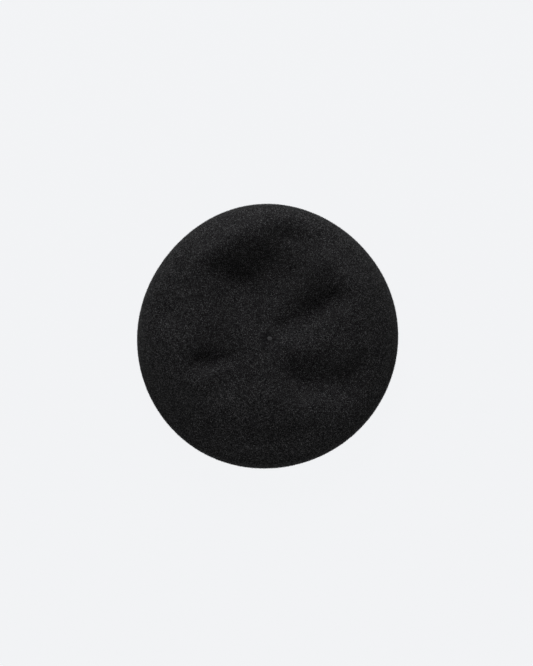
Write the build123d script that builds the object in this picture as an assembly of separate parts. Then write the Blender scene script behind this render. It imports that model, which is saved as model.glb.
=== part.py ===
from build123d import *
import math
import os

# Wool felt beret, lying with its opening down on a flat surface. Millimetres.
# Origin at the centre of the underside, on the surface it lies on. +Z is up.
# -Y is the wearer's back, where the sweatband's ends meet. -X is the wearer's
# left, where the care label hangs.

# Felt shell: a round crown whose rim folds under to the head opening
outer_diameter = 280.0
crown_height = 52.0        # top of the puffed ring round the crown
ring_inset = 41.0          # from the rim in to the top of the puffed ring
rim_height = 23.0          # height of the widest line, the rim's fold
hollow_radius = 50.0       # the sunken zone between the ring and the centre
hollow_drop = 15.5         # how far it lies below the ring
centre_drop = 13.0         # how far the crown's centre lies below the ring
dish_handle = 1 / 3        # curve handle between the centre and the sunken zone, of its run
climb_handle = 1 / 2.2     # curve handle between the sunken zone and the ring, of its run
felt_thickness = 2.5
flat_land = 19.0           # width of underside that lies flat, round the opening

# Felt edge, turned up inside the opening to carry the sweatband
edge_inner_radius = 0.5    # inside of the turn
hem_land = 1.0             # how far the edge stands above the stitched margin

# Sweatband: a grosgrain ribbon ring, stitched along its lower margin
head_circumference = 560.0
band_width = 25.0
band_thickness = 0.8
band_lift = 3.5            # lower edge above the surface the beret lies on
margin_width = 4.0         # stitched margin, pulled back into the felt
margin_recess = 0.5
margin_ramp = 1.5
lap_length = 12.0          # one end runs on behind the other
lap_gap = 0.6              # between the two ends, on the inside

# Sewing thread
thread_diameter = 0.45
stitch_pitch = 4.0
stitch_length = 3.0
join_stitch_count = 4
join_end_margin = 3.0      # of ribbon above the highest join stitch

# Care label: a folded satin loop that hangs behind the sweatband
label_width = 30.0
label_drop = 16.0
label_top_margin = 1.2     # of ribbon above the label
label_ply = 0.3
label_air = 0.3            # between the two plies
label_clearance = 0.2      # from the sweatband
label_seam = 2.0           # height over which both plies are sewn together
label_stitch_drop = 0.9    # stitch line below the label's top edge
label_stitch_pitch = 3.0
label_stitch_length = 2.2

# Yarn that draws the last loops together at the crown's centre
nub_x = 2.3
nub_y = -2.0
nub_radius = 2.6
nub_flat_radius = 1.3      # its top is level inside this
nub_height = 1.5           # above the felt
nub_sink = 0.5             # below the felt's surface
yarn_radius = 1.1
knot_radius = 2.0
knot_flat_radius = 1.0     # its foot is level inside this
knot_drop = 1.8            # below the felt's inner face

# Directions round the head, in degrees from +X
BACK_ANGLE = 270.0
LEFT_ANGLE = 180.0

outer_radius = outer_diameter / 2
ring_radius = outer_radius - ring_inset
band_radius = head_circumference / (2 * math.pi)
band_back = band_radius + band_thickness
margin_radius = band_radius + margin_recess
margin_back = margin_radius + band_thickness
margin_top = band_lift + margin_width
ramp_top = margin_top + margin_ramp
hem_height = ramp_top + hem_land
band_top = band_lift + band_width
edge_radius = felt_thickness + edge_inner_radius
turn_radius = margin_back + edge_radius
flat_radius = turn_radius + flat_land
hem_back = margin_back + felt_thickness
centre_height = crown_height - centre_drop


def meridian(*points):
    """Face in the XZ plane from (radius, height) corners."""
    return make_face(Polyline(*[(r, 0, z) for r, z in points], close=True))


def arc_degrees(length, radius):
    return math.degrees(length / radius)


def turned(face, centre_angle, span):
    """Revolve a meridian face over span degrees, centred on centre_angle."""
    return Rot(0, 0, centre_angle - span / 2) * revolve(face, Axis.Z, span)


def crown_line(inset):
    """The crown from its centre to the flat underside, inset into the felt."""
    centre = (0, centre_height - inset)
    hollow = (hollow_radius, crown_height - hollow_drop - inset)
    ring = (ring_radius, crown_height - inset)
    near = hollow_radius * dish_handle
    far = (ring_radius - hollow_radius) * climb_handle
    return [
        Bezier(centre, (near, centre[1]), (hollow[0] - near, hollow[1]), hollow),
        Bezier(hollow, (hollow[0] + far, hollow[1]), (ring[0] - far, ring[1]), ring),
        EllipticalCenterArc((ring_radius, rim_height), ring_inset - inset,
                            crown_height - rim_height - inset, 0, arc_size=90),
        EllipticalCenterArc((flat_radius, rim_height), outer_radius - flat_radius - inset,
                            rim_height - inset, 270, arc_size=90),
    ]


def make_felt():
    turn_start = (turn_radius, 0)
    turn_end = (margin_back, edge_radius)
    back_start = (turn_radius, felt_thickness)
    back_end = (hem_back, edge_radius)
    outside = crown_line(0) + [
        Line((flat_radius, 0), turn_start),
        RadiusArc(turn_start, turn_end, edge_radius),
        Polyline(turn_end, (margin_back, margin_top), (band_back, ramp_top),
                 (band_back, hem_height), (hem_back, hem_height)),
    ]
    inside = crown_line(felt_thickness) + [
        Line((flat_radius, felt_thickness), back_start),
        RadiusArc(back_start, back_end, edge_inner_radius),
        Line(back_end, (hem_back, hem_height)),
    ]
    axis_line = Line((0, centre_height), (0, centre_height - felt_thickness))
    profile = make_face([*outside, *inside, axis_line])
    # the surface's seam line is turned to the left, clear of the yarn's hole
    return Rot(0, 0, LEFT_ANGLE) * revolve(Plane.XZ * profile, Axis.Z)


def band_profile(shift):
    """The ribbon's section, moved out by shift."""
    return meridian(
        (margin_radius + shift, band_lift), (margin_back + shift, band_lift),
        (margin_back + shift, margin_top), (band_back + shift, ramp_top),
        (band_back + shift, band_top), (band_radius + shift, band_top),
        (band_radius + shift, ramp_top), (margin_radius + shift, margin_top))


def make_band():
    """The ribbon ring, and the end that runs on behind the join."""
    ring_span = 360 - arc_degrees(lap_gap, band_radius)
    ring = turned(band_profile(0), BACK_ANGLE + 180, ring_span)
    lap = turned(band_profile(band_thickness), BACK_ANGLE, arc_degrees(lap_length, band_back))
    return ring, lap


def stitch(radius, height, length):
    """One stitch on the outside of a cylinder, centred on angle 0."""
    back = radius + thread_diameter
    low = height - thread_diameter / 2
    high = height + thread_diameter / 2
    face = meridian((radius, low), (back, low), (back, high), (radius, high))
    return turned(face, 0, arc_degrees(length, radius))


def stitch_ring(radius, height, phase):
    """Stitches all the way round; phase 0.5 leaves the sweatband's join free."""
    count = round(2 * math.pi * band_radius / stitch_pitch)
    one = stitch(radius, height, stitch_length)
    return [Rot(0, 0, BACK_ANGLE + (i + phase) * 360 / count) * one for i in range(count)]


def make_join_stitches():
    """Upright stitches in the gap between the ribbon's ends."""
    low = ramp_top
    pitch = (band_top - join_end_margin - low) / join_stitch_count
    front = band_back - thread_diameter
    width = arc_degrees(thread_diameter, band_back)
    stitches = []
    for i in range(join_stitch_count):
        foot = low + (i + 0.5) * pitch - stitch_length / 2
        head = foot + stitch_length
        face = meridian((front, foot), (band_back, foot), (band_back, head), (front, head))
        stitches.append(turned(face, BACK_ANGLE, width))
    return stitches


def make_label():
    """Satin loop, sewn shut along its top, with air between its plies."""
    near = band_back + label_clearance
    far = near + 2 * label_ply + label_air
    top = band_top - label_top_margin
    foot = top - label_drop
    outer = meridian((near, foot), (far, foot), (far, top), (near, top))
    air = meridian((near + label_ply, foot + label_ply), (far - label_ply, foot + label_ply),
                   (far - label_ply, top - label_seam), (near + label_ply, top - label_seam))
    return turned(outer - air, LEFT_ANGLE, arc_degrees(label_width, near))


def make_label_stitches():
    face_radius = band_back + label_clearance + 2 * label_ply + label_air
    height = band_top - label_top_margin - label_stitch_drop
    count = int(label_width / label_stitch_pitch) - 1
    one = stitch(face_radius, height, label_stitch_length)
    step = arc_degrees(label_stitch_pitch, face_radius)
    return [Rot(0, 0, LEFT_ANGLE + (i - (count - 1) / 2) * step) * one for i in range(count)]


def make_closing_yarn():
    """Outer nub, yarn through the felt, and inner knot, as one turned piece."""
    seat = centre_height - nub_sink
    peak = centre_height + nub_height
    face_below = centre_height - felt_thickness
    knot_seat = face_below + nub_sink
    knot_foot = face_below - knot_drop
    profile = make_face([
        Line((0, peak), (nub_flat_radius, peak)),
        Spline((nub_flat_radius, peak), (nub_radius, seat), tangents=[(1, 0), (0, -1)]),
        Polyline((nub_radius, seat), (yarn_radius, seat),
                 (yarn_radius, knot_seat), (knot_radius, knot_seat)),
        Spline((knot_radius, knot_seat), (knot_flat_radius, knot_foot), tangents=[(0, -1), (-1, 0)]),
        Polyline((knot_flat_radius, knot_foot), (0, knot_foot), (0, peak)),
    ])
    return Pos(nub_x, nub_y, 0) * revolve(Plane.XZ * profile, Axis.Z)


def main():
    os.makedirs("parts", exist_ok=True)
    band_ring, band_lap = make_band()
    closing_yarn = make_closing_yarn()
    stitch_height = (band_lift + margin_top) / 2
    parts = {
        "felt_body": make_felt() - band_lap - closing_yarn,
        "crown_closing_yarn": closing_yarn,
        "sweatband": band_ring + band_lap,
        "band_needle_thread": Compound(stitch_ring(margin_radius - thread_diameter, stitch_height, 0.5)),
        "band_bobbin_thread": Compound(stitch_ring(hem_back, stitch_height, 0.0)),
        "band_join_stitches": Compound(make_join_stitches()),
        "care_label": make_label(),
        "label_stitches": Compound(make_label_stitches()),
    }
    for name, shape in parts.items():
        export_step(shape, f"parts/{name}.step")


main()
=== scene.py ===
import bpy
import math
import random
import numpy as np
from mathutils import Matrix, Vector, noise


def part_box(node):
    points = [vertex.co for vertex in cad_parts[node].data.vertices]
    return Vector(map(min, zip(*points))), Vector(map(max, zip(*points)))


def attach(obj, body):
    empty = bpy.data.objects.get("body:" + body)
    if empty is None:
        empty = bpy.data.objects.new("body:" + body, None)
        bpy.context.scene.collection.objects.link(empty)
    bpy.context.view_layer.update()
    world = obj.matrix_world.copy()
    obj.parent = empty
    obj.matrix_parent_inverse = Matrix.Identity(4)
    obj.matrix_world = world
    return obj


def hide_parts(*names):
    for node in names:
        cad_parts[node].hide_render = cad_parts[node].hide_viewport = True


# A black wool felt beret, lying with its opening down. Metres, in the CAD frame: +Z up.
# -Y is the wearer's back, where the sweatband's ends meet. -X is the left, where the label hangs.
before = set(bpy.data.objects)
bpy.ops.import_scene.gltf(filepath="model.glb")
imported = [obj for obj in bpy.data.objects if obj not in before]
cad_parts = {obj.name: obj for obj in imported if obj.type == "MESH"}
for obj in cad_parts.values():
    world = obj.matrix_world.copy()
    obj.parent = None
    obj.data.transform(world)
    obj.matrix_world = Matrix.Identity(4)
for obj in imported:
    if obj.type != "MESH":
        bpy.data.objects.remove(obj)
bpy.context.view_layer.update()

MM = 0.001
SEED = 7
BACK = math.radians(270)
LEFT = math.radians(180)

# ---------------------------------------------------------------- sizes from the frame
felt_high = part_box("felt_body")[1]
band_low, band_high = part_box("sweatband")
label_low, label_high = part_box("care_label")
yarn_low, yarn_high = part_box("crown_closing_yarn")
needle_low, needle_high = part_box("band_needle_thread")
bobbin_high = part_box("band_bobbin_thread")[1]
join_low, join_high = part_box("band_join_stitches")
seam_low, seam_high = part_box("label_stitches")

RIM = felt_high.x                       # outer radius
TOP = felt_high.z                       # top of the CAD felt's puffed ring
FELT = 2.5 * MM                         # felt thickness
BAND_THICK = 0.8 * MM
MARGIN_RECESS = 0.5 * MM                # the stitched margin stands back by this
MARGIN_WIDTH = 4.0 * MM
MARGIN_RAMP = 1.5 * MM                  # height over which the ribbon comes forward again
HEM_LAND = 1.0 * MM                     # how far the felt's edge stands above that
LABEL_CLEARANCE = 0.2 * MM              # between the label and the sweatband
BAND_FACE = band_high.x - BAND_THICK - MARGIN_RECESS
BAND_BACK = BAND_FACE + BAND_THICK
MARGIN_TOP = band_low.z + MARGIN_WIDTH
RAMP_TOP = MARGIN_TOP + MARGIN_RAMP
THREAD = needle_high.z - needle_low.z
NUB = (yarn_low + yarn_high) / 2

# ---------------------------------------------------------------- the felt's form
RIM_HEIGHT = 23 * MM
RING_MEAN = 92 * MM                     # plan radius of the puffed ring's crest
CREST_SAG = 2 * MM                      # the crest is this much lower at the wearer's back
HOLLOW_SHARE = 0.42                     # the sunken zone's radius, of the crest's
HOLLOW_DROP = 9.5 * MM                  # of the sunken zone, below the crest
CENTRE_DROP = 11.5 * MM                 # of the crown's centre, below the crest
FLAT_RADIUS = 112 * MM                  # underside lies flat inside this
EDGE_RADIUS = 3 * MM                    # the felt's edge turns up with this radius
FOLD_FADE = (105 * MM, 136 * MM)        # folds die away between these radii
LOBE_FADE = (100 * MM, 130 * MM)        # the outline's lobes set in between these radii
HEM_TOP = RAMP_TOP + HEM_LAND

# The outline isn't a true circle: (lobes, size, direction in degrees)
OUTLINE = [(2, 1.3 * MM, 137), (3, 0.8 * MM, -59), (4, 0.35 * MM, 10), (5, 0.25 * MM, 116)]

# Soft folds of the crown, in mm: start x, y, end x, y, half width, height.
# Far is +Y, near is -Y, right is +X and left is -X.
FOLDS = {
    "far hollow": (-27, 55, 24, 60, 25, -13.0),
    "far hollow reach": (4, 82, 22, 100, 21, -11.0),
    "far bump": (36, 52, 60, 78, 14, 6.5),
    "right upper crease": (18, 10, 71, 40, 17, -11.0),
    "right crease end": (39, 28, 64, 51, 11, 3.0),
    "right ridge": (20, -12, 91, -3, 17, 5.0),
    "right hollow": (42, -53, 76, -50, 21, -12.5),
    "right hollow bend": (79, -26, 99, -11, 11, 2.6),
    "left crease": (-31, -26, -70, -25, 10, -4.0),
    "left ridge": (-49, 35, -76, -5, 22, 6.0),
    "left low ridge": (-25, -27, -79, -50, 9, 3.2),
    "left far valley": (-5, 32, -85, 75, 19, -8.5),
    "left diagonal ridge": (-25, 43, -88, 70, 16, 6.5),
    "near fold": (14, -22, 38, -59, 10, -3.0),
    "near ray": (6, -25, 8, -62, 9, 3.2),
    "near slope": (-8, -51, 20, -65, 27, 7.0),
    "near rim sink": (-70, -127, 80, -113, 30, -7.0),
    "right rim swell": (87, 27, 89, 51, 22, 9.5),
    "far left swell": (-69, 82, -22, 119, 17, 8.5),
    "left rim hollow": (-106, 28, -97, 72, 17, -5.0),
    "centre left valley": (-9, 14, -47, 34, 13, -3.5),
    "near left dip": (-30, -52, -59, -34, 17, -3.0),
}
# Uneven felt thickness and hand, over the folds: (size of feature, height)
UNEVEN = [(34 * MM, 0.25 * MM), (13 * MM, 0.12 * MM), (5 * MM, 0.06 * MM)]
# The felt is drawn in round the yarn that closes the crown
GATHERS = 9
GATHER_SHIFT = 1.4                      # how unevenly the pleats are spread, in radians
GATHER_DEPTH = 0.4 * MM
GATHER_REACH = 10 * MM
GATHER_START = (0.6 * MM, 3 * MM)       # the pleats set in between these distances
DIMPLE = 0.3 * MM
DIMPLE_REACH = 4 * MM
# Behind the sweatband's lapped ends the felt edge stands out
LAP_HALF = 6.5 * MM
LAP_FADE = 2.2                          # the bulge ends at this many times LAP_HALF
LAP_BULGE = 0.85 * MM


def smooth(low, high, x):
    """0 below low, 1 above high, an S-curve between them."""
    t = np.clip((x - low) / (high - low), 0, 1)
    return t * t * (3 - 2 * t)


def fold_height(x, y):
    """Height that the named folds add at plan points x, y."""
    total = np.zeros_like(x)
    for x1, y1, x2, y2, width, height in FOLDS.values():
        x1, y1, x2, y2, width, height = (v * MM for v in (x1, y1, x2, y2, width, height))
        dx, dy = x2 - x1, y2 - y1
        along = np.clip(((x - x1) * dx + (y - y1) * dy) / (dx * dx + dy * dy), 0, 1)
        off = (x - x1 - along * dx) ** 2 + (y - y1 - along * dy) ** 2
        total += height * np.exp(-off / width ** 2)
    return total


def outline_scale(theta):
    """The outline's radius at each direction, of RIM."""
    scale = np.ones_like(theta)
    for lobes, size, direction in OUTLINE:
        scale += size / RIM * np.cos(lobes * theta - math.radians(direction))
    return scale


def wander(points, size, seed):
    """Smooth noise, about -1 to 1, with features of the given size."""
    shift = Vector((seed * 13.7, seed * 7.1, seed * 3.3))
    flat = points.reshape(-1, 3)
    values = [noise.noise(Vector(p) / size + shift) for p in flat]
    return np.array(values).reshape(points.shape[:-1])


def gather_height(x, y):
    """The small pleats and dimple where the crown is drawn together."""
    across, up = x - NUB.x, y - NUB.y
    r, a = np.hypot(across, up), np.arctan2(up, across)
    pleats = np.cos(GATHERS * a + GATHER_SHIFT * np.sin(2 * a)) * np.exp(-(r / GATHER_REACH) ** 2)
    dimple = DIMPLE * np.exp(-(r / DIMPLE_REACH) ** 2)
    return GATHER_DEPTH * pleats * smooth(*GATHER_START, r) - dimple


def lap_weight(theta):
    """1 behind the sweatband's lapped ends, 0 away from them."""
    off = np.abs(np.angle(np.exp(1j * (theta - BACK)))) * BAND_BACK
    return 1 - smooth(LAP_HALF, LAP_FADE * LAP_HALF, off)


def felt_surface(columns, rows):
    """Points on the felt's outer face: from the crown's centre, over the rim, to the turned-up edge.

    Each stretch adds its rows of radius and height, and 1 where folds and unevenness act, else 0.
    """
    theta = np.linspace(0, 2 * math.pi, columns, endpoint=False)[None, :]
    crest = RING_MEAN + 0 * theta
    parts_r, parts_z, parts_w = [], [], []

    t = np.linspace(0, 1, rows["crown"])[1:, None]
    sag = CREST_SAG * (0.5 - 0.5 * np.sin(theta))
    fall = smooth(0, HOLLOW_SHARE, t)
    climb = smooth(HOLLOW_SHARE, 1, t)
    floor_z = TOP - sag * smooth(0, 0.5, t) - CENTRE_DROP + (CENTRE_DROP - HOLLOW_DROP) * fall
    crest_top = TOP - sag
    parts_r.append(t * crest)
    parts_z.append(floor_z + HOLLOW_DROP * climb)
    parts_w.append(np.ones_like(t * crest))

    a = np.linspace(0, math.pi / 2, rows["shoulder"])[1:, None]
    parts_r.append(crest + (RIM - crest) * np.sin(a))
    parts_z.append(RIM_HEIGHT + (crest_top - RIM_HEIGHT) * np.cos(a))
    parts_w.append(np.ones_like(parts_r[-1]))

    a = np.linspace(0, math.pi / 2, rows["under"])[1:, None]
    parts_r.append(FLAT_RADIUS + (RIM - FLAT_RADIUS) * np.cos(a) + 0 * theta)
    parts_z.append(RIM_HEIGHT * (1 - np.sin(a)) + 0 * theta)
    parts_w.append(np.zeros_like(parts_r[-1]))

    turn_radius = BAND_BACK + MARGIN_RECESS + EDGE_RADIUS
    t = np.linspace(0, 1, rows["flat"])[1:, None]
    parts_r.append(FLAT_RADIUS + (turn_radius - FLAT_RADIUS) * t + 0 * theta)
    parts_z.append(0 * t + 0 * theta)
    parts_w.append(np.zeros_like(parts_r[-1]))

    a = np.linspace(0, math.pi / 2, rows["turn"])[1:, None]
    bulge = LAP_BULGE * lap_weight(theta)
    parts_r.append(turn_radius - EDGE_RADIUS * np.sin(a) + bulge * np.sin(a) ** 2)
    parts_z.append(EDGE_RADIUS * (1 - np.cos(a)) + 0 * theta)
    parts_w.append(np.zeros_like(parts_r[-1]))

    t = np.linspace(0, 1, rows["hem"])[1:, None]
    z = EDGE_RADIUS + (HEM_TOP - EDGE_RADIUS) * t
    hem = BAND_BACK + MARGIN_RECESS * (1 - smooth(MARGIN_TOP, RAMP_TOP, z))
    parts_r.append(hem + bulge)
    parts_z.append(z + 0 * theta)
    parts_w.append(np.zeros_like(parts_r[-1]))

    r, z, w = (np.vstack(p) for p in (parts_r, parts_z, parts_w))
    r = r * (1 + (outline_scale(theta) - 1) * smooth(*LOBE_FADE, r))
    x, y = r * np.cos(theta), r * np.sin(theta)
    inside_rim = w * (1 - smooth(*FOLD_FADE, r))
    z = z + (fold_height(x, y) + gather_height(x, y)) * inside_rim
    grid = np.dstack([x, y, z])
    for i, (size, height) in enumerate(UNEVEN):
        grid[..., 2] += height * wander(grid, size, SEED + i) * w
    return grid


def grid_normals(grid):
    """Unit normals of a closed ring grid, pointing out of the felt."""
    around = np.roll(grid, -1, axis=1) - np.roll(grid, 1, axis=1)
    along = np.gradient(grid, axis=0)
    n = np.cross(along, around)
    return n / np.maximum(np.linalg.norm(n, axis=2, keepdims=True), 1e-12)


def mesh_object(name, points, faces, material, body="hat", replaces=()):
    """A smooth-shaded piece of the object, riding on a body and what it replaces."""
    mesh = bpy.data.meshes.new(name)
    mesh.from_pydata([tuple(p) for p in points], [], faces)
    mesh.validate()
    mesh.polygons.foreach_set("use_smooth", [True] * len(mesh.polygons))
    mesh.materials.append(material)
    obj = bpy.data.objects.new(name, mesh)
    bpy.context.scene.collection.objects.link(obj)
    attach(obj, body)
    if replaces:
        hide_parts(*replaces)
    return obj


def ring_faces(rows, columns, start=0, flip=False):
    """Quads between successive rings of points, closed round each ring."""
    faces = []
    for i in range(rows - 1):
        for j in range(columns):
            k = (j + 1) % columns
            a, b = start + i * columns + j, start + i * columns + k
            quad = (a, a + columns, b + columns, b)
            faces.append(quad[::-1] if flip else quad)
    return faces


# ---------------------------------------------------------------- materials
class Nodes:
    """A material's node tree, with short calls to add and join nodes."""

    def __init__(self, name):
        self.material = bpy.data.materials.new(name)
        self.material.use_nodes = True
        self.tree = self.material.node_tree
        self.shader = self.tree.nodes["Principled BSDF"]

    def add(self, kind, **values):
        node = self.tree.nodes.new(kind)
        for key, value in values.items():
            if key in node.inputs:
                node.inputs[key].default_value = value
            else:
                setattr(node, key, value)
        return node

    def join(self, output, target):
        self.tree.links.new(output, target)

    def set(self, **values):
        for key, value in values.items():
            self.shader.inputs[key.replace("_", " ")].default_value = value


def ramp(nodes, source, stops):
    """A colour ramp of cool greys from (place, grey) stops, fed by source."""
    node = nodes.add("ShaderNodeValToRGB")
    for i, (place, grey) in enumerate(stops):
        stop = node.color_ramp.elements[i] if i < 2 else node.color_ramp.elements.new(place)
        stop.position = place
        stop.color = (grey, grey, grey * 1.03, 1)
    nodes.join(source, node.inputs["Fac"])
    return node


def felt_material():
    """Fulled black wool: clumped fibres about a millimetre across, matt, with a soft nap."""
    n = Nodes("wool_felt")
    where = n.add("ShaderNodeTexCoord")
    clumps = n.add("ShaderNodeTexNoise", Scale=750.0, Detail=3.0, Roughness=0.6, Distortion=0.6)
    fine = n.add("ShaderNodeTexNoise", Scale=2300.0, Detail=2.0, Roughness=0.6, Distortion=1.2)
    broad = n.add("ShaderNodeTexNoise", Scale=160.0, Detail=2.0)
    for texture in (clumps, fine, broad):
        n.join(where.outputs["Object"], texture.inputs["Vector"])
    grey = ramp(n, clumps.outputs["Fac"], [(0.36, 0.0008), (0.66, 0.0120)])
    patchy = ramp(n, broad.outputs["Fac"], [(0.3, 0.82), (0.7, 1.15)])
    tint = n.add("ShaderNodeMix", data_type="RGBA", blend_type="MULTIPLY")
    tint.inputs["Factor"].default_value = 1.0
    n.join(grey.outputs["Color"], tint.inputs["A"])
    n.join(patchy.outputs["Color"], tint.inputs["B"])
    n.join(tint.outputs["Result"], n.shader.inputs["Base Color"])
    coarse_bump = n.add("ShaderNodeBump", Strength=1.0, Distance=0.6 * MM)
    fine_bump = n.add("ShaderNodeBump", Strength=0.8, Distance=0.25 * MM)
    n.join(clumps.outputs["Fac"], coarse_bump.inputs["Height"])
    n.join(fine.outputs["Fac"], fine_bump.inputs["Height"])
    n.join(coarse_bump.outputs["Normal"], fine_bump.inputs["Normal"])
    n.join(fine_bump.outputs["Normal"], n.shader.inputs["Normal"])
    n.set(Roughness=0.95, Specular_IOR_Level=0.02, Sheen_Weight=0.03, Sheen_Roughness=0.5)
    return n.material


# ---------------------------------------------------------------- the felt body
COLUMNS = 480
ROWS = {"crown": 66, "shoulder": 30, "under": 22, "flat": 10, "turn": 6, "hem": 6}


def make_felt(material):
    """The felt as one closed shell. Returns its outer face's points and normals."""
    grid = felt_surface(COLUMNS, ROWS)
    normals = grid_normals(grid)
    inner = grid - normals * FELT
    rows = grid.shape[0]
    centre_out = grid[0].mean(axis=0)
    centre_in = inner[0].mean(axis=0)
    points = np.vstack([grid.reshape(-1, 3), inner.reshape(-1, 3), centre_out, centre_in])
    count = rows * COLUMNS
    faces = ring_faces(rows, COLUMNS)
    faces += ring_faces(rows, COLUMNS, start=count, flip=True)
    last_out, last_in = count - COLUMNS, 2 * count - COLUMNS
    for j in range(COLUMNS):
        k = (j + 1) % COLUMNS
        faces.append((last_out + j, last_in + j, last_in + k, last_out + k))
        faces.append((2 * count, j, k))
        faces.append((2 * count + 1, count + k, count + j))
    mesh_object("beret_felt", points, faces, material, replaces=("felt_body",))
    return grid, normals


# ---------------------------------------------------------------- loose fibres on the felt
FIBRE_STEPS = 3
FIBRE_LENGTH = (1.6 * MM, 3.6 * MM)
FIBRE_HALF_WIDTH = (0.05 * MM, 0.11 * MM)
FIBRE_CURL = 0.5                        # spread of the turn at each step, in radians
FIBRE_TILT = 0.15                       # spread of the ribbon's lean out of the felt's face
FIBRE_TAPER = 0.7                       # of its width, lost by the fibre's tip
FIBRE_ARCH = 1.9                        # radians of a sine wave that its height follows
FIBRE_SEAT = 0.03 * MM                  # its middle line starts this far off the felt
FLOOR_GAP = 0.05 * MM                   # no fibre lies lower than this
# Bands of the felt's rows: first, one past the last, fibres per square mm, least and most lift in mm
NAP = {
    "felt_fuzz_crown": (3, 66, 0.85, 0.05, 0.35),
    "felt_fuzz_shoulder": (65, 80, 0.90, 0.05, 0.40),
    "felt_fuzz_edge": (79, 97, 1.35, 0.10, 0.80),
    "felt_fuzz_rim": (96, 110, 0.80, 0.10, 0.50),
}


def scatter(grid, normals, density, rng):
    """Random points spread evenly over a ring grid, density to the square metre, and the normals there."""
    near, far = grid[:-1], grid[1:]
    near_next, far_next = np.roll(near, -1, axis=1), np.roll(far, -1, axis=1)
    area = np.linalg.norm(np.cross(far - near, near_next - near), axis=2).ravel()
    count = int(density * area.sum())
    pick = rng.choice(area.size, count, p=area / area.sum())
    i, j = np.divmod(pick, grid.shape[1])
    u, v = rng.random((2, count, 1))
    places = (near[i, j] * (1 - u) + far[i, j] * u) * (1 - v)
    places += (near_next[i, j] * (1 - u) + far_next[i, j] * u) * v
    return places, normals[i, j]


def make_fuzz(name, grid, normals, density, lift, seed, material):
    """Loose fibre ends of the nap: thin curved ribbons that lie on the felt."""
    rng = np.random.default_rng(seed)
    place, n = scatter(grid, normals, density, rng)
    count = len(place)
    side = np.cross(n, rng.normal(size=(count, 3)))
    side /= np.linalg.norm(side, axis=1, keepdims=True)
    cross = np.cross(n, side)
    angle = np.zeros((count, 1))
    curl = rng.normal(0, FIBRE_CURL, (count, 1))
    step = rng.uniform(*FIBRE_LENGTH, (count, 1)) / FIBRE_STEPS
    top = rng.uniform(*lift, (count, 1)) * rng.random((count, 1))
    half_width = rng.uniform(*FIBRE_HALF_WIDTH, (count, 1))
    tilt = rng.normal(0, FIBRE_TILT, (count, 1))
    points = []
    for k in range(FIBRE_STEPS + 1):
        share = k / FIBRE_STEPS
        heading = np.cos(angle) * side + np.sin(angle) * cross
        across = np.cross(n, heading) + tilt * n
        width = half_width * (1 - FIBRE_TAPER * share)
        centre = place + n * (top * math.sin(FIBRE_ARCH * share) + FIBRE_SEAT)
        points += [centre - across * width, centre + across * width]
        place = place + heading * step
        angle = angle + curl
    points = np.stack(points, axis=1).reshape(-1, 3)
    points[:, 2] = np.maximum(points[:, 2], FLOOR_GAP)
    corners = 2 * (FIBRE_STEPS + 1)
    faces = [(b + 2 * k, b + 2 * k + 1, b + 2 * k + 3, b + 2 * k + 2)
             for b in range(0, count * corners, corners) for k in range(FIBRE_STEPS)]
    mesh_object(name, points, faces, material)


def fibre_material():
    """Single wool fibres: near black, each a little lighter or darker than the next."""
    n = Nodes("wool_nap")
    where = n.add("ShaderNodeTexCoord")
    each = n.add("ShaderNodeTexNoise", Scale=900.0, Detail=1.0)
    n.join(where.outputs["Object"], each.inputs["Vector"])
    grey = ramp(n, each.outputs["Fac"], [(0.40, 0.004), (0.66, 0.080)])
    n.join(grey.outputs["Color"], n.shader.inputs["Base Color"])
    n.set(Roughness=0.8, Specular_IOR_Level=0.1)
    return n.material


# ---------------------------------------------------------------- sheets: the ribbon and the label
def sheet_mesh(name, front, back, material, slot, body, replaces):
    """A closed thin sheet from two grids of the same size, its front and back faces."""
    rows, columns = front.shape[:2]
    count = rows * columns

    def at(i, j, side):
        return side * count + i * columns + j

    faces = []
    for i in range(rows - 1):
        for j in range(columns - 1):
            faces.append((at(i, j, 0), at(i, j + 1, 0), at(i + 1, j + 1, 0), at(i + 1, j, 0)))
            faces.append((at(i, j, 1), at(i + 1, j, 1), at(i + 1, j + 1, 1), at(i, j + 1, 1)))
    for j in range(columns - 1):
        faces.append((at(0, j, 0), at(0, j, 1), at(0, j + 1, 1), at(0, j + 1, 0)))
        faces.append((at(rows - 1, j, 0), at(rows - 1, j + 1, 0),
                      at(rows - 1, j + 1, 1), at(rows - 1, j, 1)))
    for i in range(rows - 1):
        faces.append((at(i, 0, 0), at(i + 1, 0, 0), at(i + 1, 0, 1), at(i, 0, 1)))
        faces.append((at(i, columns - 1, 0), at(i, columns - 1, 1),
                      at(i + 1, columns - 1, 1), at(i + 1, columns - 1, 0)))
    points = np.vstack([front.reshape(-1, 3), back.reshape(-1, 3)])
    return mesh_object(name, points, faces, material, body, replaces)


def on_cylinder(radius, angle, z):
    """Points round +Z, from arrays of radius, angle and height that broadcast together."""
    return np.stack(np.broadcast_arrays(radius * np.cos(angle), radius * np.sin(angle), z), axis=-1)


RIB_PITCH = 1.1 * MM
RIB_DEPTH = 0.22 * MM
RIB_COLUMNS = 5
SELVEDGE = 0.9 * MM                     # woven edge of the ribbon, where the ribs are shallower
SELVEDGE_RIB = 0.35                     # depth of the ribs at the very edge, of RIB_DEPTH
EDGE_SQUEEZE = 0.22 * MM                # each face draws in by this at the very edge
EDGE_SQUEEZE_HEIGHT = 0.3 * MM
BAND_WIDTH = 25                         # in mm, as the rows below are
BAND_ROWS = [0, 0.25, 0.6, 1.1, 2, 3.2, 4, 4.5, 5, 5.5, 8, 12, 16, 20, 22.5, 23.9, 24.4, 24.75, BAND_WIDTH]
LAP_GAP = 0.6 * MM                      # between the ribbon's ends, on the inside
LAP_TAIL = 6 * MM                       # the end that runs on behind the other
LAP_STEP = 3 * MM                       # length over which that end moves back
BAND_WAVE = 0.35 * MM                   # the ribbon's free edge isn't quite true
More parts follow.
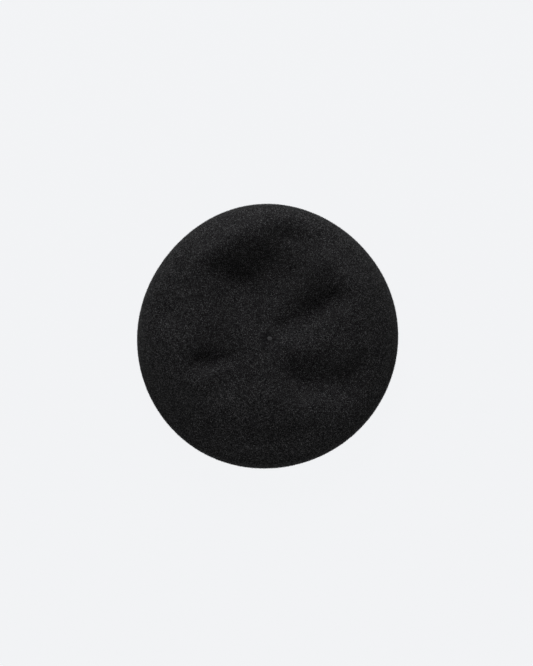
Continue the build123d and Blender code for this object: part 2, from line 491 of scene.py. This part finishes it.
WAVE_FROM_JOIN = 25 * MM                # the waves set in over this distance from the join
WAVE_FROM_LABEL = (17 * MM, 40 * MM)    # and between these distances from the label's middle


def make_band(material):
    """The grosgrain ribbon ring: upright ribs, a stitched margin, one end run on behind the other."""
    girth = 2 * math.pi * BAND_FACE
    first, last = LAP_GAP / 2, girth + LAP_TAIL
    columns = int((last - first) / RIB_PITCH) * RIB_COLUMNS
    s = np.linspace(first, last, columns)[None, :]
    angle = BACK + s / BAND_FACE
    low, high = band_low.z, band_high.z
    z = low + (high - low) * np.array(BAND_ROWS)[:, None] / BAND_WIDTH
    from_edge = np.minimum(z - low, high - z)
    rib_share = SELVEDGE_RIB + (1 - SELVEDGE_RIB) * smooth(0, SELVEDGE, from_edge)
    rib = RIB_DEPTH * (0.5 - 0.5 * np.cos(2 * math.pi * s / RIB_PITCH)) * rib_share
    squeeze = EDGE_SQUEEZE * (1 - smooth(0, EDGE_SQUEEZE_HEIGHT, from_edge))
    behind = BAND_THICK * smooth(girth - LAP_GAP / 2 - LAP_STEP, girth - LAP_GAP / 2, s)
    free = smooth(HEM_TOP, high, z) * smooth(0, WAVE_FROM_JOIN, np.minimum(s, girth - s) - LAP_TAIL)
    from_label = np.abs(np.angle(np.exp(1j * (angle - LEFT)))) * BAND_FACE
    away = smooth(*WAVE_FROM_LABEL, from_label)
    wave = BAND_WAVE * free * away * (0.5 * np.sin(5 * angle + 0.7) + 0.5 * np.sin(11 * angle))
    base = BAND_FACE + MARGIN_RECESS * (1 - smooth(MARGIN_TOP, RAMP_TOP, z)) + behind + wave
    front = on_cylinder(base + rib + squeeze, angle, z)
    back = on_cylinder(base + BAND_THICK - rib - squeeze, angle, z)
    band = sheet_mesh("sweatband_ribbon", front, back, material, "grosgrain_ribbon", "hat", ("sweatband",))


LABEL_PLY = 0.3 * MM
LABEL_SEAM = 2 * MM
LABEL_CLOSE = (2.2, 0.8)                # the plies come together between these, in seams below the top
LABEL_COLUMNS = 40


def make_label(material):
    """A blank satin strip folded into a loop, both ends caught in the seam at its top."""
    far = -label_low.x
    near = BAND_BACK + LABEL_CLEARANCE
    half = math.asin(label_high.y / far)
    foot, top = label_low.z, label_high.z
    bend = (far - near - LABEL_PLY) / 2
    rise = np.linspace(0, 1, 12)
    arc = np.linspace(0, math.pi, 9)[1:-1]
    near_mid, far_mid = near + LABEL_PLY / 2, far - LABEL_PLY / 2
    down = top - (top - foot - LABEL_PLY / 2 - bend) * rise
    shut = far_mid - LABEL_PLY
    close = smooth(top - LABEL_CLOSE[0] * LABEL_SEAM, top - LABEL_CLOSE[1] * LABEL_SEAM, down)
    r = np.concatenate([near_mid + (shut - near_mid) * close,
                        (near_mid + far_mid) / 2 - bend * np.cos(arc), np.full(rise.size, far_mid)])
    z = np.concatenate([down, down[-1] - bend * np.sin(arc), down[::-1]])
    path = np.stack([r, z], axis=1)
    along = np.gradient(path, axis=0)
    along /= np.linalg.norm(along, axis=1, keepdims=True)
    out = np.stack([along[:, 1], -along[:, 0]], axis=1) * LABEL_PLY / 2
    angle = LEFT + np.linspace(-half, half, LABEL_COLUMNS)[None, :]
    faces = []
    for side in (1, -1):
        line = path + side * out
        faces.append(on_cylinder(line[:, :1], angle, line[:, 1:]))
    label = sheet_mesh("care_label_loop", *faces, material, "satin_label", "label", ("care_label",))


# ---------------------------------------------------------------- sewing
THREAD_STEPS = 11
THREAD_SIDES = 9
THREAD_DIVE = 0.8                       # a stitch's ends lie this deep, in thread diameters
THREAD_TWIST = (5, 7)                   # radians along one stitch
THREAD_END = 0.35                       # radius at a stitch's very end, of the thread's
THREAD_FLARE = 4                        # how fast it grows to the full radius
PLIES = 3
PLY_GROOVE = 0.12                       # half the grooves' depth, of the thread's radius
STITCH_SPREAD = (0.94, 1.0)             # stitches' lengths, of the nominal one


def thread_points(middle, along, out, length, lift, twist):
    """One stitch: a three-ply thread that rises out of the cloth, runs along it and dives in."""
    side = np.cross(along, out)
    points = []
    for i in range(THREAD_STEPS):
        t = i / (THREAD_STEPS - 1)
        arch = 1 - (2 * t - 1) ** 6
        end = min(1, THREAD_END + THREAD_FLARE * min(t, 1 - t))
        centre = middle + along * length * (t - 0.5) + out * (lift * (arch - 1))
        for k in range(THREAD_SIDES):
            a = 2 * math.pi * k / THREAD_SIDES
            groove = PLY_GROOVE * (1 - math.cos(PLIES * (a - twist * t)))
            radius = THREAD / 2 * end * (1 - groove)
            points.append(centre + side * radius * math.cos(a) + out * radius * math.sin(a))
    return points


def make_stitches(name, stitches, material, body, replaces):
    """stitches lists (middle, along, out, length) for every stitch of one seam."""
    rng = random.Random(SEED)
    points, faces = [], []
    for middle, along, out, length in stitches:
        start = len(points)
        length = length * rng.uniform(*STITCH_SPREAD)
        twist = rng.uniform(*THREAD_TWIST)
        points += thread_points(middle, along, out, length, THREAD * THREAD_DIVE, twist)
        faces += ring_faces(THREAD_STEPS, THREAD_SIDES, start)
        last = start + (THREAD_STEPS - 1) * THREAD_SIDES
        faces.append(tuple(start + k for k in range(THREAD_SIDES)))
        faces.append(tuple(last + k for k in reversed(range(THREAD_SIDES))))
    mesh_object(name, points, faces, material, body, replaces)


def round_seam(radius, height, count, phase, length, out_sign):
    """Stitches spaced all the way round; out_sign 1 faces away from the head, -1 towards it."""
    seam = []
    for i in range(count):
        a = BACK + (i + phase) * 2 * math.pi / count
        out = np.array([math.cos(a), math.sin(a), 0])
        along = np.array([-math.sin(a), math.cos(a), 0])
        seam.append((out * radius + np.array([0, 0, height]), along, out * out_sign, length))
    return seam


STITCH_PITCH = 4 * MM
STITCH_LENGTH = 3 * MM
JOIN_STITCHES = 4
LABEL_STITCHES = 9
LABEL_STITCH_PITCH = 3 * MM
LABEL_STITCH_LENGTH = 2.2 * MM


def make_sewing(material):
    """Both threads of the sweatband's seam, its join, and the label's top seam."""
    count = round(2 * math.pi * BAND_FACE / STITCH_PITCH)
    needle_z = (needle_low.z + needle_high.z) / 2
    needle_r = BAND_FACE + MARGIN_RECESS - THREAD / 2
    needle = round_seam(needle_r, needle_z, count, 0.5, STITCH_LENGTH, -1)
    make_stitches("band_needle_stitches", needle, material, "hat", ("band_needle_thread",))
    bobbin_r = bobbin_high.x - THREAD / 2
    bobbin = round_seam(bobbin_r, needle_z, count, 0, STITCH_LENGTH, 1)
    make_stitches("band_bobbin_stitches", bobbin, material, "hat", ("band_bobbin_thread",))

    up = np.array([0, 0, 1.0])
    back_out = np.array([math.cos(BACK), math.sin(BACK), 0])
    pitch = (join_high.z - join_low.z - STITCH_LENGTH) / (JOIN_STITCHES - 1)
    join = []
    for i in range(JOIN_STITCHES):
        height = join_low.z + STITCH_LENGTH / 2 + i * pitch
        middle = back_out * (BAND_BACK - THREAD / 2) + up * height
        join.append((middle, up, -back_out, STITCH_LENGTH))
    make_stitches("band_join_seam", join, material, "hat", ("band_join_stitches",))

    radius = -label_low.x + THREAD / 2
    height = (seam_low.z + seam_high.z) / 2
    top = []
    for i in range(LABEL_STITCHES):
        a = LEFT + (i - (LABEL_STITCHES - 1) / 2) * LABEL_STITCH_PITCH / radius
        out = np.array([math.cos(a), math.sin(a), 0])
        along = np.array([-math.sin(a), math.cos(a), 0])
        top.append((out * radius + up * height, along, out, LABEL_STITCH_LENGTH))
    make_stitches("label_top_seam", top, material, "label", ("label_stitches",))


# ---------------------------------------------------------------- the yarn that closes the crown
def felt_height_at(grid, spot):
    """Height of the crown's point nearest to a spot in plan."""
    crown = grid[:ROWS["crown"]]
    nearest = np.argmin(np.hypot(crown[..., 0] - spot.x, crown[..., 1] - spot.y))
    return crown[..., 2].flat[nearest]


# Each knot's radius, its height above and its depth below the felt's face, and its turns of yarn
NUB_KNOT = (2.4 * MM, 0.9 * MM, 1.4 * MM, 7)
INNER_KNOT = (1.9 * MM, 1.0 * MM, 1.3 * MM, 5)
KNOT_COLUMNS = 72
KNOT_STEPS = 16
KNOT_GROOVE = 0.16                      # depth of the grooves between turns, of the radius
KNOT_SWIRL = 1.3                        # how far a turn winds round from top to middle, in radians
KNOT_FULLNESS = 0.8                     # under 1 is fuller than a ball
KNOT_DIP = 0.45 * MM                    # hollow in the middle of its top
KNOT_DIP_SHARE = 0.3                    # width of that hollow, of the radius


def make_nub(material, felt_height):
    """A small wound knot, drawn flat into the felt, and the knot on its inner side."""
    angle = np.linspace(0, 2 * math.pi, KNOT_COLUMNS, endpoint=False)
    points, faces = [], []
    knots = [(NUB_KNOT, felt_height), (INNER_KNOT, felt_height - FELT)]
    for (radius, high, low, coils), middle in knots:
        start = len(points)
        for k in range(1, KNOT_STEPS):
            t = math.pi * k / KNOT_STEPS
            swirl = KNOT_GROOVE * np.cos(coils * (angle + KNOT_SWIRL * math.cos(t))) * math.sin(t)
            r = radius * math.sin(t) ** KNOT_FULLNESS * (1 + swirl)
            z = middle + (high if t < math.pi / 2 else low) * math.cos(t)
            if t < math.pi / 2:
                z -= KNOT_DIP * math.exp(-(math.sin(t) / KNOT_DIP_SHARE) ** 2)
            for a, rr in zip(angle, r):
                points.append((NUB.x + rr * math.cos(a), NUB.y + rr * math.sin(a), z))
        faces += ring_faces(KNOT_STEPS - 1, KNOT_COLUMNS, start)
        last = start + (KNOT_STEPS - 2) * KNOT_COLUMNS
        faces.append(tuple(start + k for k in range(KNOT_COLUMNS)))
        faces.append(tuple(last + k for k in reversed(range(KNOT_COLUMNS))))
    mesh_object("crown_nub", points, faces, material, replaces=("crown_closing_yarn",))


def cloth_material(name, low, high, scale, bump, **finish):
    """A woven or spun finish: grey between low and high, with fine bump of the same grain."""
    n = Nodes(name)
    where = n.add("ShaderNodeTexCoord")
    grain = n.add("ShaderNodeTexNoise", Scale=scale, Detail=4.0, Roughness=0.65)
    n.join(where.outputs["Object"], grain.inputs["Vector"])
    grey = ramp(n, grain.outputs["Fac"], [(0.3, low), (0.7, high)])
    n.join(grey.outputs["Color"], n.shader.inputs["Base Color"])
    height = n.add("ShaderNodeBump", Strength=0.7, Distance=bump)
    n.join(grain.outputs["Fac"], height.inputs["Height"])
    n.join(height.outputs["Normal"], n.shader.inputs["Normal"])
    n.set(**finish)
    return n.material


# ---------------------------------------------------------------- stage, light and camera
PALE = (0.896, 0.905, 0.922)
GLOW = 0.985                            # the stage's own light, so that it shows hardly any shadow
STAGE_COLUMNS = 96
FLOOR_HEIGHT = -0.2 * MM                # clear of the felt's flat underside
# (radius, height) of each ring of points
FLOOR_RINGS = [(2.0, FLOOR_HEIGHT), (4.0, FLOOR_HEIGHT)]
WALL_RINGS = [(4.0, FLOOR_HEIGHT), (4.6, 0.12), (5.0, 0.5), (5.1, 1.2), (5.1, 4.0)]
LENS = 85                               # mm
HAT_SHARE = 0.3934                      # of the picture's height that the hat takes up
CAMERA_SHIFT = (-0.9 * MM, 4.3 * MM)    # the hat isn't quite in the picture's middle
WORLD_STRENGTH = 0.03


def make_backdrop(name, profile, material):
    """A surface of revolution about +Z, seen from inside, closed in the middle if it is level."""
    angle = np.linspace(0, 2 * math.pi, STAGE_COLUMNS, endpoint=False)
    points = [(r * math.cos(a), r * math.sin(a), z) for r, z in profile for a in angle]
    faces = ring_faces(len(profile), STAGE_COLUMNS, flip=True)
    if profile[0][1] == profile[-1][1]:
        faces.append(tuple(range(STAGE_COLUMNS)))
    mesh = bpy.data.meshes.new(name)
    mesh.from_pydata(points, [], faces)
    mesh.materials.append(material)
    obj = bpy.data.objects.new(name, mesh)
    bpy.context.scene.collection.objects.link(obj)
    return obj


def make_stage():
    """A plain pale floor, and a pale wall all round that lights nothing."""
    n = Nodes("pale_paper")
    n.set(Base_Color=(0.006, 0.006, 0.006, 1), Roughness=1.0, Specular_IOR_Level=0.0)
    n.set(Emission_Color=(*PALE, 1), Emission_Strength=GLOW)
    make_backdrop("studio_floor", FLOOR_RINGS, n.material)
    wall = make_backdrop("studio_wall", WALL_RINGS, n.material)
    wall.visible_diffuse = False
    wall.visible_glossy = False


def make_light(name, place, size, power):
    """A soft disc light of so many metres and watts, aimed at the hat."""
    light = bpy.data.lights.new(name, "AREA")
    light.shape = "DISK"
    light.size = size
    light.energy = power
    obj = bpy.data.objects.new(name, light)
    obj.location = place
    obj.rotation_euler = (-Vector(place)).to_track_quat("-Z", "Y").to_euler()
    bpy.context.scene.collection.objects.link(obj)


def make_camera():
    """A camera that looks straight down on the hat."""
    camera = bpy.data.objects.new("camera", bpy.data.cameras.new("camera"))
    camera.data.lens = LENS
    frame_height = 2 * RIM / HAT_SHARE
    distance = frame_height * camera.data.lens / camera.data.sensor_width
    camera.location = (*CAMERA_SHIFT, RIM_HEIGHT + distance)
    bpy.context.scene.collection.objects.link(camera)
    bpy.context.scene.camera = camera


def make_world():
    """A faint even light from all round, and plain colours."""
    world = bpy.data.worlds.new("studio")
    world.use_nodes = True
    background = world.node_tree.nodes["Background"]
    background.inputs["Color"].default_value = (*PALE, 1)
    background.inputs["Strength"].default_value = WORLD_STRENGTH
    bpy.context.scene.world = world
    bpy.context.scene.view_settings.view_transform = "Standard"


felt_grid, felt_normals = make_felt(felt_material())
nap = fibre_material()
for i, (name, (first, last, per_square_mm, low, high)) in enumerate(NAP.items()):
    make_fuzz(name, felt_grid[first:last], felt_normals[first:last], per_square_mm / MM ** 2,
              (low * MM, high * MM), SEED + i, nap)
make_band(cloth_material("grosgrain_ribbon", 0.008, 0.018, 1500.0, 0.08 * MM,
                         Roughness=0.6, Specular_IOR_Level=0.25, Sheen_Weight=0.05))
make_label(cloth_material("satin_label", 0.56, 0.64, 2600.0, 0.03 * MM,
                          Roughness=0.32, Specular_IOR_Level=0.5))
make_sewing(cloth_material("sewing_thread", 0.020, 0.045, 3200.0, 0.04 * MM,
                           Roughness=0.5, Specular_IOR_Level=0.3))
make_nub(cloth_material("wool_yarn", 0.010, 0.060, 1400.0, 0.25 * MM,
                        Roughness=0.95, Specular_IOR_Level=0.05), felt_height_at(felt_grid, NUB))
make_stage()
make_light("key", (-0.17, 1.41, 1.14), 0.7, 51)
make_light("fill", (0.20, -1.76, 0.38), 1.0, 15)
make_camera()
make_world()
